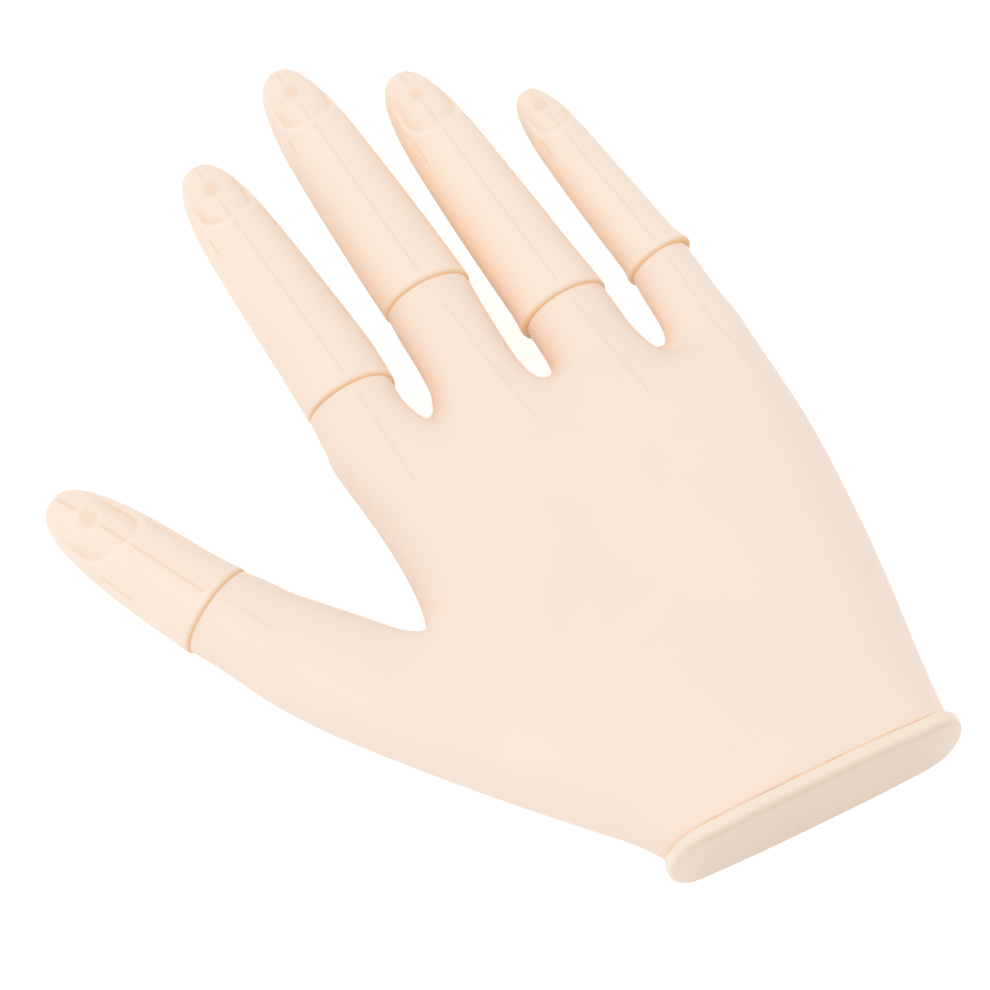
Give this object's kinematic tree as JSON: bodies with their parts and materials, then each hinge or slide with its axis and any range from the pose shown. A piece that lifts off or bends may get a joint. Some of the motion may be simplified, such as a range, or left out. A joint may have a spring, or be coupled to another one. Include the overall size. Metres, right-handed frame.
{
  "type": "nail practice hand",
  "caption": "Life-size soft hand for nail practice, palm down, with bending finger sleeves that have nail beds, on a hinged inner skeleton, closed at the wrist by a flat plug.",
  "frame": {"origin": "centre of the wrist plug's outer flat face", "axes": "+Y along the hand to the fingertips, +Z out of the back of the hand, the thumb on the -X side"},
  "size_m": [0.1471, 0.195, 0.0261],
  "materials": {
    "palm_vinyl": "satin soft vinyl",
    "sleeve_vinyl": "satin soft vinyl",
    "plug_plastic": "matte",
    "core_plastic": "matte",
    "bone_plastic": "matte",
    "pin_steel": "plain",
    "screw_steel": "plain"
  },
  "bodies": {
    "palm": {"palm_skin": "palm_vinyl", "wrist_plug": "plug_plastic", "plug_screw_1": "screw_steel", "plug_screw_2": "screw_steel", "palm_core": "core_plastic", "thumb_root_pin": "pin_steel", "index_root_pin": "pin_steel", "middle_root_pin": "pin_steel", "ring_root_pin": "pin_steel", "little_root_pin": "pin_steel"},
    "thumb_proximal": {"thumb_sleeve": "sleeve_vinyl", "thumb_proximal_bone": "bone_plastic", "thumb_tip_pin": "pin_steel"},
    "thumb_distal": {"thumb_distal_bone": "bone_plastic"},
    "index_proximal": {"index_sleeve": "sleeve_vinyl", "index_proximal_bone": "bone_plastic", "index_middle_pin": "pin_steel"},
    "index_middle": {"index_middle_bone": "bone_plastic", "index_tip_pin": "pin_steel"},
    "index_distal": {"index_distal_bone": "bone_plastic"},
    "middle_proximal": {"middle_sleeve": "sleeve_vinyl", "middle_proximal_bone": "bone_plastic", "middle_middle_pin": "pin_steel"},
    "middle_middle": {"middle_middle_bone": "bone_plastic", "middle_tip_pin": "pin_steel"},
    "middle_distal": {"middle_distal_bone": "bone_plastic"},
    "ring_proximal": {"ring_sleeve": "sleeve_vinyl", "ring_proximal_bone": "bone_plastic", "ring_middle_pin": "pin_steel"},
    "ring_middle": {"ring_middle_bone": "bone_plastic", "ring_tip_pin": "pin_steel"},
    "ring_distal": {"ring_distal_bone": "bone_plastic"},
    "little_proximal": {"little_sleeve": "sleeve_vinyl", "little_proximal_bone": "bone_plastic", "little_middle_pin": "pin_steel"},
    "little_middle": {"little_middle_bone": "bone_plastic", "little_tip_pin": "pin_steel"},
    "little_distal": {"little_distal_bone": "bone_plastic"}
  },
  "joints": [
    {"name": "thumb_root", "type": "hinge", "parent": "palm", "child": "thumb_proximal", "pos_m": [-0.08004, 0.07704, 0.001], "axis": [-0.8838, -0.4679, 0], "range_deg": [-10, 40], "deforming": ["palm_skin"]},
    {"name": "thumb_tip", "type": "hinge", "parent": "thumb_proximal", "child": "thumb_distal", "pos_m": [-0.09127, 0.09824, 0.00102], "axis": [-0.8838, -0.4679, 0], "range_deg": [0, 50], "deforming": ["thumb_sleeve"]},
    {"name": "index_root", "type": "hinge", "parent": "palm", "child": "index_proximal", "pos_m": [-0.04079, 0.11313, 0.001], "axis": [-0.9945, -0.1045, 0], "range_deg": [-10, 60], "deforming": ["palm_skin"]},
    {"name": "index_middle", "type": "hinge", "parent": "index_proximal", "child": "index_middle", "pos_m": [-0.04252, 0.12952, 0.00101], "axis": [-0.9945, -0.1045, 0], "range_deg": [0, 75], "deforming": ["index_sleeve"]},
    {"name": "index_tip", "type": "hinge", "parent": "index_middle", "child": "index_distal", "pos_m": [-0.04492, 0.15242, 0.00118], "axis": [-0.9945, -0.1045, 0], "range_deg": [0, 40], "deforming": ["index_sleeve"]},
    {"name": "middle_root", "type": "hinge", "parent": "palm", "child": "middle_proximal", "pos_m": [-0.0161, 0.1133, 0.001], "axis": [-0.9963, -0.0854, 0], "range_deg": [-10, 60], "deforming": ["palm_skin"]},
    {"name": "middle_middle", "type": "hinge", "parent": "middle_proximal", "child": "middle_middle", "pos_m": [-0.01874, 0.14418, 0.00101], "axis": [-0.9963, -0.0854, 0], "range_deg": [0, 75], "deforming": ["middle_sleeve"]},
    {"name": "middle_tip", "type": "hinge", "parent": "middle_middle", "child": "middle_distal", "pos_m": [-0.02071, 0.1671, 0.00119], "axis": [-0.9963, -0.0854, 0], "range_deg": [0, 40], "deforming": ["middle_sleeve"]},
    {"name": "ring_root", "type": "hinge", "parent": "palm", "child": "ring_proximal", "pos_m": [0.00692, 0.10822, 0.001], "axis": [-0.9951, -0.0993, 0], "range_deg": [-10, 60], "deforming": ["palm_skin"]},
    {"name": "ring_middle", "type": "hinge", "parent": "ring_proximal", "child": "ring_middle", "pos_m": [0.00488, 0.12864, 0.001], "axis": [-0.9951, -0.0993, 0], "range_deg": [0, 75], "deforming": ["ring_sleeve"]},
    {"name": "ring_tip", "type": "hinge", "parent": "ring_middle", "child": "ring_distal", "pos_m": [0.00249, 0.15253, 0.00118], "axis": [-0.9951, -0.0993, 0], "range_deg": [0, 40], "deforming": ["ring_sleeve"]},
    {"name": "little_root", "type": "hinge", "parent": "palm", "child": "little_proximal", "pos_m": [0.03041, 0.10533, 0.001], "axis": [-0.9903, -0.1392, 0], "range_deg": [-10, 60], "deforming": ["palm_skin"]},
    {"name": "little_middle", "type": "hinge", "parent": "little_proximal", "child": "little_middle", "pos_m": [0.02692, 0.13017, 0.00101], "axis": [-0.9903, -0.1392, 0], "range_deg": [0, 75], "deforming": ["little_sleeve"]},
    {"name": "little_tip", "type": "hinge", "parent": "little_middle", "child": "little_distal", "pos_m": [0.02466, 0.14624, 0.0012], "axis": [-0.9903, -0.1392, 0], "range_deg": [0, 40], "deforming": ["little_sleeve"]}
  ]
}
